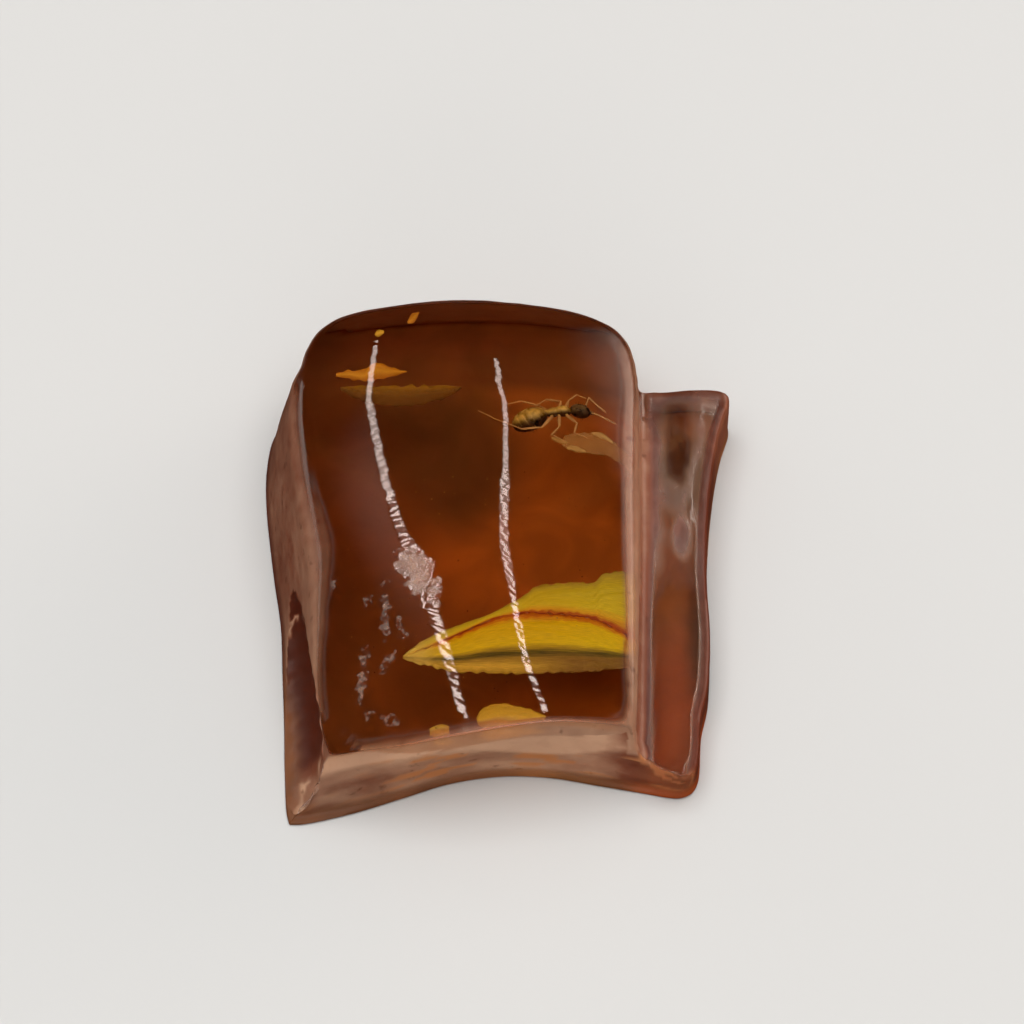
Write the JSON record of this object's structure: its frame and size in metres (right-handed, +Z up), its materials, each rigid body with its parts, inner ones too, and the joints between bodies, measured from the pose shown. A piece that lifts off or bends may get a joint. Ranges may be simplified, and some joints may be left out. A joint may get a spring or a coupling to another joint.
{
  "type": "insect in amber",
  "caption": "Block of dark amber with a polished convex crown and a lower flange on one side, lying on its flat back, with an ant sealed inside.",
  "frame": {"origin": "middle of the flat back's bounding box, on the surface that the block lies on", "axes": "+Z up through the polished crown, +Y along the block away from its hollow near side, +X across towards the flange"},
  "size_m": [0.026, 0.029, 0.0095],
  "materials": {
    "amber": "clear and polished on the crown, matt and weathered on the sides and the flange",
    "ant": "dark brown cuticle with a low sheen"
  },
  "bodies": {
    "root": {"amber_base": "amber", "amber_crown": "amber", "ant": "ant"}
  },
  "joints": []
}
